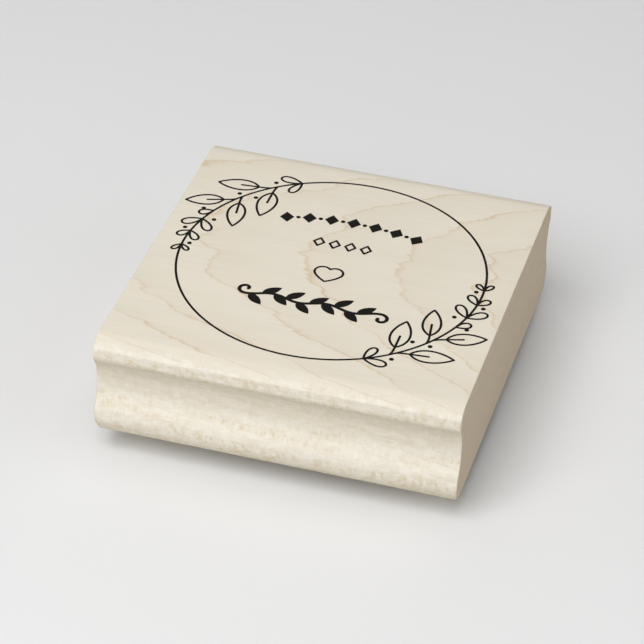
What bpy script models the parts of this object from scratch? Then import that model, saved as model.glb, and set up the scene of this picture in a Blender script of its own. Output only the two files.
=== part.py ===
"""A wood-mounted rubber stamp, modelled as its separate pieces.

A block of maple moulding carries a foam cushion and an engraved rubber die. Two thin films of
adhesive hold the stack together. The measurements are metres and +Z is up. The origin is on
the printing face, under the middle of the block. The moulded, grooved sides face -Y and +Y,
and the sawn ends face -X and +X. Seen from above, the die's artwork reads the right way
round, as its print does on paper, so from below it is mirrored.
"""

import math

import bmesh
import bpy
from mathutils import Vector

# Block of maple moulding
BLOCK_LENGTH = 0.0762  # sawn end to sawn end
BLOCK_DEPTH = 0.0804  # across the lower body
BLOCK_HEIGHT = 0.0226
NOSE_SETBACK = 0.0002  # nose, behind the lower body's face
TOP_REACH = 0.0040  # rounding of the top into the nose: how far in it starts
TOP_ROUND = 0.0019  # and how far down it ends
TOP_BEVEL = 1.35  # 1 is an even round, and more is flatter in the middle
LIP_DROP = 0.0037  # top face to the start of the lip's rounding
LIP_ROUND = 0.0023
LIP_ANGLE = 38.0  # degrees from vertical of the slope under the lip
COVE_ROUND = 0.0071
COVE_SINK = 0.0020  # finger groove's depth, behind the nose
GROOVE_FLAT = 0.0019  # upright stretch at the bottom of the groove
FLARE_HEIGHT = 0.0071  # groove to lower body
FLARE_HOLLOW_SHARE = 0.6  # part of the flare that is hollow, the rest is round
BASE_DEPTH = 0.00215  # rounding of the lower edge: how far in it ends
BASE_HEIGHT = 0.0040  # and how far up it starts
TOP_STEPS = 9
LIP_STEPS = 4
COVE_STEPS = 6
FLARE_STEPS = 6
SHOULDER_STEPS = 5
BASE_STEPS = 9
END_EASE = 0.00035  # sanding of the sawn ends' edges
END_EASE_STEPS = 3

# Mounting stack under the block
MOUNT_GAP = 0.0003  # between neighbouring pieces
FILM_THICKNESS = 0.0002
CUSHION_THICKNESS = 0.0016
DIE_SHEET = 0.0013
DIE_RELIEF = 0.001
RELIEF_ROOT = 0.0003  # how far a raised mark is sunk into the die's sheet

# Outline that the cushion, films and die are cut to
TRIM_RADIUS = 0.0312
TRIM_BULGE = 0.0082  # extra reach round each leafy spray
TRIM_BULGE_ANGLE = 149.0  # degrees round from +X to the middle of one bulge
TRIM_BULGE_SPREAD = 52.0  # degrees from there to its ends
TRIM_STEPS = 72
FILM_INSET = 0.0004  # film and cushion edges, inside the die's edge

# Artwork, drawn at the size of a ring of ARTWORK_RING and scaled to the die's ring
ARTWORK_RING = 0.0323
DIE_RING = 0.0300
ARTWORK_SCALE = DIE_RING / ARTWORK_RING
LINE = 0.00051  # width of a drawn line
CAP_STEPS = 3
RING_STEPS = 72

# One leafy spray, along the ring and counted in degrees from +X
# foot's angle, lean towards the ring's inside (degrees), length and width
LARGE_LEAVES = (
    (126.6, 53.0, 0.0092, 0.0040),
    (129.2, -34.0, 0.0089, 0.0039),
    (141.8, 46.0, 0.0089, 0.0037),
    (144.8, -36.5, 0.0081, 0.0037),
)
SMALL_LEAVES = (
    (117.5, -37.0, 0.0049, 0.0021),
    (117.5, 42.0, 0.0044, 0.0018),
    (157.3, -38.0, 0.0032, 0.0018),
    (164.3, -42.0, 0.0045, 0.0021),
    (164.3, 50.0, 0.0047, 0.0020),
    (173.4, -40.0, 0.0031, 0.0016),
    (173.4, 44.0, 0.0037, 0.0017),
    (183.0, -36.0, 0.0026, 0.0011),
    (183.0, 44.0, 0.0026, 0.0011),
)
# angle, and distance inside the ring
BERRIES = (
    (126.8, -0.0016),
    (138.5, 0.0019),
    (142.2, -0.0013),
    (158.3, -0.0023),
    (162.2, 0.0022),
    (172.2, -0.0016),
    (181.5, 0.0015),
)
LEAF_STALK = 0.0030
STALK_RUN = 0.0008  # how far a stalk follows the ring before it bends away
STALK_LEAN_SHARE = 0.78  # a stalk's lean as a part of its leaf's
LEAF_FULLNESS = 0.07  # how far the widest part moves towards the stalk, to the leaf's length
MIDRIB_SHARE = 0.43
BERRY_RADIUS = 0.0005
STALK_STEPS = 3
LEAF_STEPS = 6
TEARDROP_STEPS = 6
TEARDROP_PEAK = 0.77  # the largest value of sin(t) * sin(t / 2)
BERRY_STEPS = 8

# Heart, between the upper ornaments and the garland: two round lobes and a point
HEART_CENTRE = (0.0, -0.00195)
HEART_LOBE = 0.0017
HEART_LOBE_SIDE = 0.00132  # lobe's centre, from the middle
HEART_DROP = 0.00345  # lobes' centres to the point
HEART_SIDE_ANGLE = -24.0  # degrees where a lobe ends on its outer side
HEART_PULL = 0.9  # how round the sides are below the lobes
HEART_STEPS = 7

# Arched row of solid lozenges, with a dot between neighbours
ARCH_TOP = 0.0172  # height of the row's middle over the ring's centre
ARCH_RADIUS = 0.052
ARCH_COUNT = 7
ARCH_PITCH = 5.3  # degrees between lozenges
ARCH_LOZENGE = (0.0031, 0.0038)  # width and height

# Straight row of outlined lozenges
ROW_HEIGHT = 0.0083
ROW_COUNT = 4
ROW_PITCH = 0.0034
ROW_LOZENGE = (0.0027, 0.0034)

# Garland: a wavy stem with solid leaves and a curl at each end
GARLAND_HEIGHT = -0.0137
GARLAND_HALF = 0.0143
GARLAND_WAVE = 0.0007
GARLAND_WAVES = 2.5
GARLAND_LINE = 0.0008
GARLAND_LEAVES = 10
GARLAND_FIRST_LEAF = -0.94  # the stem runs from -1 to 1
GARLAND_LEAF_PITCH = 0.178
GARLAND_LEAF = (0.0046, 0.0021)  # length and width
GARLAND_LEAN = 42.0
GARLAND_STEPS = 36
CURL_RADIUS = 0.0017
CURL_TIGHTENING = 0.75  # part of its radius that a curl loses on the way
CURL_TURN = 300.0
CURL_STEPS = 14

SMOOTH_ANGLE = 30.0  # degrees: flatter edges are shaded smooth

# Colours (linear RGB), roughness
MAPLE = ((0.66, 0.58, 0.44, 1.0), 0.55)
FILM = ((0.72, 0.70, 0.62, 1.0), 0.30)
FOAM = ((0.16, 0.16, 0.17, 1.0), 0.90)
RUBBER = ((0.11, 0.10, 0.10, 1.0), 0.60)


# ---------------------------------------------------------------- plane drawing


def arc(centre, radius, start, end, steps):
    """Points along an arc, with its angles in degrees."""
    angles = [math.radians(start + (end - start) * k / steps) for k in range(steps + 1)]
    return [(centre[0] + radius * math.cos(a), centre[1] + radius * math.sin(a)) for a in angles]


def polar(radius, degrees):
    """The point at this radius and angle round the origin."""
    a = math.radians(degrees)
    return (radius * math.cos(a), radius * math.sin(a))


def placed(points, origin, heading):
    """Points turned so that +X becomes heading (degrees), then moved to origin."""
    c = math.cos(math.radians(heading))
    s = math.sin(math.radians(heading))
    return [(origin[0] + c * x - s * y, origin[1] + s * x + c * y) for x, y in points]


def scaled(points, factor):
    """Points with both coordinates times factor."""
    return [(x * factor, y * factor) for x, y in points]


def side_of(path, offset, closed):
    """The path moved sideways by offset, to its left where offset is positive."""
    moved = []
    last = len(path) - 1
    for k, (x, y) in enumerate(path):
        before = path[k - 1] if k or closed else path[0]
        after = path[(k + 1) % len(path)] if k < last or closed else path[last]
        along = Vector((after[0] - before[0], after[1] - before[1])).normalized()
        moved.append((x - along.y * offset, y + along.x * offset))
    return moved


def bend(start, control, end, steps):
    """Points along a quadratic curve."""
    points = []
    for k in range(steps + 1):
        t = k / steps
        weights = ((1 - t) ** 2, 2 * t * (1 - t), t * t)
        points.append(
            tuple(sum(w * p[i] for w, p in zip(weights, (start, control, end))) for i in (0, 1))
        )
    return points


def heading_of(start, end):
    """The direction from one point to another, in degrees."""
    return math.degrees(math.atan2(end[1] - start[1], end[0] - start[0]))


def line_mark(path, width):
    """A drawn line of even width with round ends, as the outline of its inked area."""
    half = width / 2
    left = side_of(path, half, False)
    right = side_of(path, -half, False)
    start = heading_of(path[0], path[1])
    end = heading_of(path[-2], path[-1])
    first_cap = arc(path[0], half, start + 90, start + 270, CAP_STEPS)[1:-1]
    last_cap = arc(path[-1], half, end - 90, end + 90, CAP_STEPS)[1:-1]
    return (first_cap + right + last_cap + left[::-1], None)


# ---------------------------------------------------------------- artwork


def leaf_sides(length, width):
    """The two sides of a leaf that starts at the origin and points along +X, base to tip."""
    radius = (length**2 + width**2) / (4 * width)
    reach = radius - width / 2
    half = math.degrees(math.acos(reach / radius))
    above = arc((length / 2, -reach), radius, 90 + half, 90 - half, LEAF_STEPS)
    shift = LEAF_FULLNESS * length
    above = [(x - shift * (1 - (2 * x / length - 1) ** 2), y) for x, y in above]
    return above, [(x, -y) for x, y in above]


def teardrop_sides(length, width):
    """The two sides of a leaf with a round tip, from the origin along +X."""
    wide = width / TEARDROP_PEAK
    above = []
    for k in range(TEARDROP_STEPS + 1):
        t = math.pi * k / TEARDROP_STEPS
        above.append((length * (1 - math.cos(t)) / 2, wide / 2 * math.sin(t) * math.sin(t / 2)))
    return above, [(x, -y) for x, y in above]


def lozenge(size, shrink):
    """A lozenge about the origin, drawn shrink inside its full outline."""
    width, height = size
    inward = 1 - 2 * shrink * math.hypot(width, height) / (width * height)
    return [
        (width / 2 * inward, 0.0),
        (0.0, height / 2 * inward),
        (-width / 2 * inward, 0.0),
        (0.0, -height / 2 * inward),
    ]


def heart_half():
    """The right half of a heart's edge, from its notch to its point."""
    notch = math.degrees(math.acos(-HEART_LOBE_SIDE / HEART_LOBE))
    lobe = arc((HEART_LOBE_SIDE, 0.0), HEART_LOBE, notch, HEART_SIDE_ANGLE, HEART_STEPS)
    control = placed([(HEART_LOBE * HEART_PULL, 0.0)], lobe[-1], HEART_SIDE_ANGLE - 90)[0]
    return lobe + bend(lobe[-1], control, (0.0, -HEART_DROP), HEART_STEPS)[1:]


def heart():
    """A heart drawn as a line, in two halves."""
    right = heart_half()
    left = [(-x, y) for x, y in right]
    return [line_mark(placed(side, HEART_CENTRE, 0.0), LINE) for side in (right, left)]


def large_leaf(degrees, lean, length, width):
    """A leaf's two sides, and one line for its bent stalk and its midrib."""
    foot = polar(ARTWORK_RING, degrees)
    growth = degrees + 90
    heading = growth + lean
    base = placed([(LEAF_STALK, 0.0)], foot, growth + lean * STALK_LEAN_SHARE)[0]
    control = placed([(STALK_RUN, 0.0)], foot, growth)[0]
    rib_end = placed([(length * MIDRIB_SHARE, 0.0)], base, heading)[0]
    marks = [line_mark(bend(foot, control, base, STALK_STEPS) + [rib_end], LINE)]
    for side in leaf_sides(length, width):
        marks.append(line_mark(placed(side, base, heading), LINE))
    return marks


def small_leaf(degrees, lean, length, width):
    """A small round-tipped leaf that starts on the ring."""
    foot = polar(ARTWORK_RING, degrees)
    heading = degrees + 90 + lean
    return [line_mark(placed(s, foot, heading), LINE) for s in teardrop_sides(length, width)]


def dot(centre):
    """A round dot."""
    return (arc(centre, BERRY_RADIUS, 0, 360, BERRY_STEPS)[:-1], None)


def spray():
    """The marks of one leafy spray, which grows along the ring."""
    marks = []
    for leaf in LARGE_LEAVES:
        marks += large_leaf(*leaf)
    for leaf in SMALL_LEAVES:
        marks += small_leaf(*leaf)
    for degrees, inside in BERRIES:
        marks.append(dot(polar(ARTWORK_RING - inside, degrees)))
    return marks


def turned(mark, degrees):
    """A mark turned about the ring's centre."""
    outline, hole = mark
    return (
        placed(outline, (0.0, 0.0), degrees),
        placed(hole, (0.0, 0.0), degrees) if hole else None,
    )


def arched_row():
    """Solid lozenges along an arch, with dots between them."""
    marks = []
    centre = (0.0, ARCH_TOP - ARCH_RADIUS)
    first = 90 + ARCH_PITCH * (ARCH_COUNT - 1) / 2
    for k in range(2 * ARCH_COUNT - 1):
        degrees = first - ARCH_PITCH * k / 2
        middle = arc(centre, ARCH_RADIUS, degrees, degrees, 1)[0]
        if k % 2:
            marks.append(dot(middle))
        else:
            marks.append((placed(lozenge(ARCH_LOZENGE, 0.0), middle, degrees - 90), None))
    return marks


def straight_row():
    """Outlined lozenges side by side."""
    marks = []
    for k in range(ROW_COUNT):
        middle = (ROW_PITCH * (k - (ROW_COUNT - 1) / 2), ROW_HEIGHT)
        marks.append(
            (
                placed(lozenge(ROW_LOZENGE, 0.0), middle, 0),
                placed(lozenge(ROW_LOZENGE, LINE), middle, 0),
            )
        )
    return marks


def garland_point(t):
    """The garland's stem where t runs from -1 at its left end to 1 at its right end."""
    wave = GARLAND_WAVE * math.sin(math.pi * GARLAND_WAVES * t)
    return (GARLAND_HALF * t, GARLAND_HEIGHT + wave)


def curl(start, heading, side):
    """Points of a tightening curl that leaves start along heading and bends left or right."""
    points = [start]
    for k in range(CURL_STEPS):
        radius = CURL_RADIUS * (1 - CURL_TIGHTENING * k / CURL_STEPS)
        turn = CURL_TURN / CURL_STEPS
        step = radius * math.radians(turn)
        points.append(placed([(step, 0.0)], points[-1], heading + side * turn / 2)[0])
        heading += side * turn
    return points


def garland():
    """The wavy stem with its curls, and solid leaves on alternate sides."""
    stem = [garland_point(2 * k / GARLAND_STEPS - 1) for k in range(GARLAND_STEPS + 1)]
    left = curl(stem[0], 180, -1)
    right = curl(stem[-1], 0, -1)
    marks = [line_mark(left[:0:-1] + stem + right[1:], GARLAND_LINE)]
    for k in range(GARLAND_LEAVES):
        side = 1 if k % 2 else -1
        foot = garland_point(GARLAND_FIRST_LEAF + GARLAND_LEAF_PITCH * k)
        above, below = leaf_sides(*GARLAND_LEAF)
        marks.append((placed(below + above[-2:0:-1], foot, side * GARLAND_LEAN), None))
    return marks


def artwork():
    """Every mark of the artwork at full size: its outline, and the hole in it or None."""
    ring = (
        arc((0.0, 0.0), ARTWORK_RING + LINE / 2, 0, 360, RING_STEPS)[:-1],
        arc((0.0, 0.0), ARTWORK_RING - LINE / 2, 0, 360, RING_STEPS)[:-1],
    )
    sprays = [turned(mark, degrees) for mark in spray() for degrees in (0, 180)]
    return [ring] + sprays + heart() + arched_row() + straight_row() + garland()


# ---------------------------------------------------------------- solids


def add_ring(bm, points):
    """Vertices for one closed loop of points."""
    return [bm.verts.new(p) for p in points]


def bridge(bm, first, second):
    """Faces between two loops of the same length."""
    count = len(first)
    for k in range(count):
        after = (k + 1) % count
        bm.faces.new((first[k], first[after], second[after], second[k]))


def add_prism(bm, outline, low, high):
    """A closed upright prism between two heights."""
    bottom = add_ring(bm, [(x, y, low) for x, y in outline])
    top = add_ring(bm, [(x, y, high) for x, y in outline])
    bridge(bm, bottom, top)
    bm.faces.new(bottom[::-1])
    bm.faces.new(top)


def add_tube(bm, outline, hole, low, high):
    """A closed upright prism with a hole of the same number of points through it."""
    loops = [
        add_ring(bm, [(x, y, z) for x, y in points])
        for points, z in ((outline, low), (outline, high), (hole, high), (hole, low))
    ]
    for k in range(4):
        bridge(bm, loops[k], loops[(k + 1) % 4])


def make_material(name, look):
    """A plain material for a sub-part."""
    colour, roughness = look
    material = bpy.data.materials.new(name)
    material.use_nodes = True
    shader = material.node_tree.nodes["Principled BSDF"]
    shader.inputs["Base Color"].default_value = colour
    shader.inputs["Roughness"].default_value = roughness
    shader.inputs["Metallic"].default_value = 0.0
    material.diffuse_color = colour
    return material


def make_object(name, bm, material):
    """An object from a finished bmesh, shaded flat."""
    bmesh.ops.recalc_face_normals(bm, faces=bm.faces)
    mesh = bpy.data.meshes.new(name)
    bm.to_mesh(mesh)
    bm.free()
    if material:
        mesh.materials.append(material)
    obj = bpy.data.objects.new(name, mesh)
    bpy.context.scene.collection.objects.link(obj)
    return obj


def smooth_rounds(obj):
    """Shades the object's rounded faces smooth, and keeps its edges sharp."""
    obj.data.shade_smooth()
    obj.data.set_sharp_from_angle(angle=math.radians(SMOOTH_ANGLE))


# ---------------------------------------------------------------- block


def side_profile():
    """One moulded side from the top face to the underside: depth from the middle, and height."""
    body = BLOCK_DEPTH / 2
    nose = body - NOSE_SETBACK
    groove = nose - COVE_SINK
    lip = math.radians(LIP_ANGLE)

    quarter = [(x**TOP_BEVEL, y**TOP_BEVEL) for x, y in arc((0.0, 0.0), 1.0, 90, 0, TOP_STEPS)]
    top_foot = BLOCK_HEIGHT - TOP_ROUND
    top = [(nose - TOP_REACH * (1 - x), top_foot + TOP_ROUND * y) for x, y in quarter]
    lip_height = BLOCK_HEIGHT - LIP_DROP
    under_lip = arc((nose - LIP_ROUND, lip_height), LIP_ROUND, 0, -LIP_ANGLE, LIP_STEPS)
    slope_sink = COVE_SINK - (LIP_ROUND + COVE_ROUND) * (1 - math.cos(lip))
    slope_drop = slope_sink / math.tan(lip)
    cove_height = lip_height - (LIP_ROUND + COVE_ROUND) * math.sin(lip) - slope_drop
    cove_middle = (groove + COVE_ROUND, cove_height)
    cove = arc(cove_middle, COVE_ROUND, 180 - LIP_ANGLE, 180, COVE_STEPS)

    flare_top = cove_height - GROOVE_FLAT
    flare_out = body - groove
    turn = 2 * math.atan2(flare_out, FLARE_HEIGHT)
    radii = FLARE_HEIGHT / math.sin(turn)
    hollow = radii * FLARE_HOLLOW_SHARE
    rounded = radii - hollow
    turn = math.degrees(turn)
    flare = arc((groove + hollow, flare_top), hollow, 180, 180 + turn, FLARE_STEPS)
    shoulder_middle = (body - rounded, flare_top - FLARE_HEIGHT)
    shoulder = arc(shoulder_middle, rounded, turn, 0, SHOULDER_STEPS)
    quarter = arc((0.0, 0.0), 1.0, 0, -90, BASE_STEPS)
    base = [(body - BASE_DEPTH * (1 - x), BASE_HEIGHT * (1 + y)) for x, y in quarter]
    return top + under_lip + cove + flare + shoulder[1:] + base


def block_outline():
    """The block's whole profile, anticlockwise as seen from the +X end."""
    side = side_profile()
    front = [(-depth, height) for depth, height in side]
    return front + side[::-1]


def build_block(height, material):
    """The moulding's profile run from end to end, with the sawn ends' edges eased."""
    outline = block_outline()
    bm = bmesh.new()
    rings = []
    for end in (-1, 1):
        for k in range(END_EASE_STEPS + 1):
            step = k if end < 0 else END_EASE_STEPS - k
            angle = math.pi / 2 * step / END_EASE_STEPS
            inset = END_EASE * (1 - math.sin(angle))
            x = end * (BLOCK_LENGTH / 2 - END_EASE * (1 - math.cos(angle)))
            points = side_of(outline, inset, True)
            rings.append(add_ring(bm, [(x, y, height + z) for y, z in points]))
    for first, second in zip(rings, rings[1:]):
        bridge(bm, first, second)
    bm.faces.new(rings[0])
    bm.faces.new(rings[-1])
    block = make_object("maple_block", bm, material)
    smooth_rounds(block)


# ---------------------------------------------------------------- mounting stack


def trim_outline(inset):
    """The outline of the die: round, with a bulge over each spray."""
    points = []
    for k in range(TRIM_STEPS):
        degrees = 360 * k / TRIM_STEPS
        off_middle = (degrees - TRIM_BULGE_ANGLE + 90) % 180 - 90
        share = min(abs(off_middle) / TRIM_BULGE_SPREAD, 1.0)
        bulge = TRIM_BULGE * math.cos(math.pi / 2 * share) ** 2
        points.append(polar(TRIM_RADIUS + bulge - inset, degrees))
    return points


def build_layer(name, low, thickness, inset, material):
    """A flat layer of the stack, cut to the die's outline."""
    bm = bmesh.new()
    add_prism(bm, trim_outline(inset), low, low + thickness)
    layer = make_object(name, bm, material)
    smooth_rounds(layer)
    return layer


def build_relief():
    """Every raised mark, as solids that reach from the printing face into the die's sheet."""
    bm = bmesh.new()
    top = DIE_RELIEF + RELIEF_ROOT
    for outline, hole in artwork():
        outline = scaled(outline, ARTWORK_SCALE)
        if hole:
            add_tube(bm, outline, scaled(hole, ARTWORK_SCALE), 0.0, top)
        else:
            add_prism(bm, outline, 0.0, top)
    relief = make_object("relief_marks", bm, None)
    relief.hide_render = True
    relief.display_type = "WIRE"
    return relief


def build_die(material):
    """The rubber die: a sheet with the artwork standing on its underside."""
    die = build_layer("rubber_die", DIE_RELIEF, DIE_SHEET, 0.0, material)
    union = die.modifiers.new("raised_artwork", "BOOLEAN")
    union.operation = "UNION"
    union.solver = "EXACT"
    union.use_self = True
    union.object = build_relief()
    die.data.shade_flat()


def clear_scene():
    """Removes whatever the scene holds."""
    for obj in list(bpy.data.objects):
        bpy.data.objects.remove(obj, do_unlink=True)


def main():
    """Builds the stack from the printing face upwards."""
    clear_scene()
    film = make_material("adhesive_film", FILM)
    build_die(make_material("die_rubber", RUBBER))
    height = DIE_RELIEF + DIE_SHEET + MOUNT_GAP
    build_layer("die_side_film", height, FILM_THICKNESS, FILM_INSET, film)
    height += FILM_THICKNESS + MOUNT_GAP
    foam = make_material("cushion_foam", FOAM)
    build_layer("foam_cushion", height, CUSHION_THICKNESS, FILM_INSET, foam)
    height += CUSHION_THICKNESS + MOUNT_GAP
    build_layer("block_side_film", height, FILM_THICKNESS, FILM_INSET, film.copy())
    height += FILM_THICKNESS + MOUNT_GAP
    build_block(height, make_material("maple", MAPLE))


main()
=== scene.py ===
"""The looks of a wood-mounted rubber stamp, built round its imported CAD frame.

The pieces are a moulded maple block, the index print on its top, two adhesive films, a foam
cushion and an engraved rubber die. The measurements are metres, +Z is up, and the origin is on
the printing face. Grain runs along X, from one sawn end to the other.
"""

import math

import bmesh
import bpy
import numpy as np
from mathutils import Euler, Matrix, Vector, noise
from mathutils.geometry import delaunay_2d_cdt


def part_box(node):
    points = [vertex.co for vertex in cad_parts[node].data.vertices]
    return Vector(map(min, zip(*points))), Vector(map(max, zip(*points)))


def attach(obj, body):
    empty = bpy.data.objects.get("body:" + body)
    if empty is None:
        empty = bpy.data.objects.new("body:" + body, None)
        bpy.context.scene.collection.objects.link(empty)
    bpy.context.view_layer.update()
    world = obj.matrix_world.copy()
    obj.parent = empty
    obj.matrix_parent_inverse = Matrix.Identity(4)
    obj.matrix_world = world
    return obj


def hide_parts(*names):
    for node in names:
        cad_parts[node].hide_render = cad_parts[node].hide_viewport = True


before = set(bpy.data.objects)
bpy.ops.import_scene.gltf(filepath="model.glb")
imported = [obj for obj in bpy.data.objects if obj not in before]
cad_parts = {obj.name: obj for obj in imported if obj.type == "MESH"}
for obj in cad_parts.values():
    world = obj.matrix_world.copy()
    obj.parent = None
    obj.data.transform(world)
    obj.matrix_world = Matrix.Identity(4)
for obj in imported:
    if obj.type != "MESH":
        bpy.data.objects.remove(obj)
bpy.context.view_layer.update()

MM = 0.001

# Camera: angles in degrees, and how far it stands from the point it looks at
CAMERA_AZIMUTH = 15.32
CAMERA_ELEVATION = 35.70
CAMERA_ROLL = 1.80
CAMERA_LENS = 159.3
CAMERA_DISTANCE = 0.5919
CAMERA_AIM = (0.0002, -0.0066, 0.0188)
CAMERA_SENSOR = 36.0
CAMERA_CLIP = (0.01, 10.0)

# Moulded side of the block, as in the CAD
NOSE_SETBACK = 0.2 * MM
TOP_REACH = 4.0 * MM
TOP_ROUND = 1.9 * MM
TOP_BEVEL = 1.35  # 1 is an even round, and more is flatter in the middle
LIP_DROP = 3.7 * MM
LIP_ROUND = 2.3 * MM
LIP_ANGLE = 38.0
COVE_ROUND = 7.1 * MM
COVE_SINK = 2.0 * MM
GROOVE_FLAT = 1.9 * MM
FLARE_HEIGHT = 7.1 * MM
FLARE_HOLLOW_SHARE = 0.6
BASE_DEPTH = 2.15 * MM  # rounding of the lower edge: how far in it ends
BASE_HEIGHT = 4.0 * MM  # and how far up it starts
TOP_STEPS = 22
UPRIGHT_STEPS = 4
LIP_STEPS = 12
COVE_STEPS = 14
FLARE_STEPS = 14
SHOULDER_STEPS = 12
BASE_STEPS = 22

# Finish of the block
END_EASE = 0.30 * MM  # rounding of the sawn ends' edges
END_EASE_WEAR = 0.14 * MM  # how much that varies along an edge
END_WEAR_WAVE = 3.1 * MM
END_EASE_STEPS = 6
END_SUPPORT = 0.20 * MM  # width of the flat border inside that rounding
END_EVENING = 24  # times that the way inwards is averaged with its neighbours
CORNER_WEAR = {-1: 1.1 * MM, 1: 0.5 * MM}  # extra rounding of the lower corners at each end
CORNER_WEAR_SPREAD = 5.0 * MM
END_STRETCH = 2.4 * MM  # length of block at each end that this rounding takes up
SANDING_DEPTH = 0.035 * MM  # unevenness of the moulded sides
SANDING_WAVES = (11.0 * MM, 4.0 * MM, 2.5 * MM)
SANDING_FADE = 2.0 * MM  # where it dies out before the ends
SANDING_MARGIN = 6  # profile points over which it dies out towards the flat faces
SECTIONS = 84
COLUMNS = 36  # across the flat faces and the sawn ends

# Outline of the cushion, films and die, as in the CAD
TRIM_RADIUS = 31.2 * MM
TRIM_BULGE = 8.2 * MM
TRIM_BULGE_ANGLE = 149.0
TRIM_BULGE_SPREAD = 52.0
TRIM_STEPS = 300
FILM_INSET = 0.4 * MM

# Artwork, as in the CAD
ARTWORK_RING = 32.3 * MM
DIE_RING = 30.0 * MM
DIE_RELIEF = 1.0 * MM
LINE = 0.51 * MM
RING_STEPS = 240
CAP_STEPS = 8
# angle of the foot and inward lean in degrees, then length and width in mm
LARGE_LEAVES = (
    (126.6, 53.0, 9.2, 4.0),
    (129.2, -34.0, 8.9, 3.9),
    (141.8, 46.0, 8.9, 3.7),
    (144.8, -36.5, 8.1, 3.7),
)
SMALL_LEAVES = (
    (117.5, -37.0, 4.9, 2.1),
    (117.5, 42.0, 4.4, 1.8),
    (157.3, -38.0, 3.2, 1.8),
    (164.3, -42.0, 4.5, 2.1),
    (164.3, 50.0, 4.7, 2.0),
    (173.4, -40.0, 3.1, 1.6),
    (173.4, 44.0, 3.7, 1.7),
    (183.0, -36.0, 2.6, 1.1),
    (183.0, 44.0, 2.6, 1.1),
)
# angle in degrees, and distance inside the ring in mm
BERRIES = (
    (126.8, -1.6), (138.5, 1.9), (142.2, -1.3), (158.3, -2.3),
    (162.2, 2.2), (172.2, -1.6), (181.5, 1.5),
)
LEAF_STALK = 3.0 * MM
STALK_RUN = 0.8 * MM  # how far a stalk follows the ring before it bends away
STALK_LEAN_SHARE = 0.78  # a stalk's lean as a part of its leaf's
STALK_STEPS = 10
LEAF_FULLNESS = 0.07
MIDRIB_SHARE = 0.43
BERRY_RADIUS = 0.50 * MM
LEAF_STEPS = 18
TEARDROP_STEPS = 20
TEARDROP_PEAK = 0.77  # the largest value of sin(t) * sin(t / 2)
BERRY_STEPS = 20
HEART_CENTRE = (0.0, -1.95 * MM)
HEART_LOBE = 1.70 * MM
HEART_LOBE_SIDE = 1.32 * MM
HEART_DROP = 3.45 * MM
HEART_SIDE_ANGLE = -24.0
HEART_PULL = 0.9  # how round the sides are below the lobes
HEART_STEPS = 20
ARCH_TOP = 17.2 * MM
ARCH_RADIUS = 52.0 * MM
ARCH_COUNT = 7
ARCH_PITCH = 5.3
ARCH_LOZENGE = (3.1 * MM, 3.8 * MM)
ROW_HEIGHT = 8.3 * MM
ROW_COUNT = 4
ROW_PITCH = 3.4 * MM
ROW_LOZENGE = (2.2 * MM, 2.9 * MM)
GARLAND_HEIGHT = -13.7 * MM
GARLAND_HALF = 14.3 * MM
GARLAND_WAVE = 0.7 * MM
GARLAND_WAVES = 2.5
GARLAND_LINE = 0.8 * MM
GARLAND_LEAVES = 10
GARLAND_FIRST_LEAF = -0.94  # the stem runs from -1 to 1
GARLAND_LEAF_PITCH = 0.178
GARLAND_LEAF = (4.6 * MM, 2.1 * MM)
GARLAND_LEAN = 42.0
GARLAND_STEPS = 120
CURL_RADIUS = 1.7 * MM
CURL_TIGHTENING = 0.75  # part of its radius that a curl loses on the way
CURL_TURN = 300.0
CURL_STEPS = 40

# Flat meshing of the artwork
INSIDE_ONLY = 1  # the triangulation leaves out what no patch covers
MERGE_DISTANCE = 1e-4  # mm

# Index print on the block's top
PRINT_SHIFT = (0.0, 0.22 * MM)
INK_PROUD = 0.02 * MM
INK_SUNK = 0.03 * MM

# Soft stack
RELIEF_SHOULDER = 0.35 * MM  # how far a raised mark's side slopes outwards
CUSHION_SWELL = 0.22 * MM
CUSHION_FULLNESS = 0.7  # less than 1 makes the swell squarer
CUSHION_STEPS = 8
FILM_CLEARANCE = 0.05 * MM

# Growth rings of the maple, in millimetres, about a pith that lies above the block
PITH_HEIGHT = 150.0
PITH_SIDE = 6.0
PITH_SLOPE = 0.108
PITH_BEND = 0.00045
RING_PITCH = 2.23
RING_START = 2.95
RING_WOBBLE = 1.15
RING_JAG = 0.11
HALO_START = 0.86  # parts of a year's growth: where its last, darker wood begins,
LINE_START = 0.94  # where the line in it begins,
LINE_END = 0.98  # and where both are darkest
HALO_SHARE = 0.4

# Figure of the maple: the size of its grains along X, Y and Z in mm
RING_WAVES = (34, 9, 9)
RING_TEETH = (7, 1.3, 1.3)
LINE_FADES = (26, 14, 14)
FIBRES = (24, 0.35, 0.35)
CLOUDS = (22, 7, 7)
MOTTLE = (2.4, 2.0, 1.1)
BARS = (0.6, 2.5, 2.4)
SPOTS = (1.0, 1.4, 1.5)
SPOT_ROWS = (14, 5, 2.0)
END_STREAKS = (6, 7, 0.45)
PORES = (0.5, 0.16, 0.16)
SAW_MARKS = (9, 0.45, 12)

# How strongly each shows in the colour
SEASON_SHARE = 0.28
END_SEASON_SHARE = 0.2
END_LINE_SHARE = 0.2
TOP_LINE_SHARE = 0.85
SIDE_LINE_SHARE = 0.55
FLECK_SHARE = 0.8
CLOUD_TINT = 0.05
FIBRE_TINT = 0.09
SIDE_TINT = -0.05
BAR_TINT = 0.06
STREAK_TINT = 0.13
PORE_TINT = 0.08

# Depths under the block's top, in mm
FLECK_ROWS = (3.7, 19.3)  # where the flecks gather
FLECK_GAP = 9.0  # where there are fewest
GROOVE_SHADE_IN = (3.4, 4.6)  # the painted shade of the finger groove sets in between these,
GROOVE_SHADE_OUT = (6.5, 15.0)  # and ends between these
EDGE_SHADE_IN = (18.8, 21.4)  # that of the lower edge sets in between these

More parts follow.
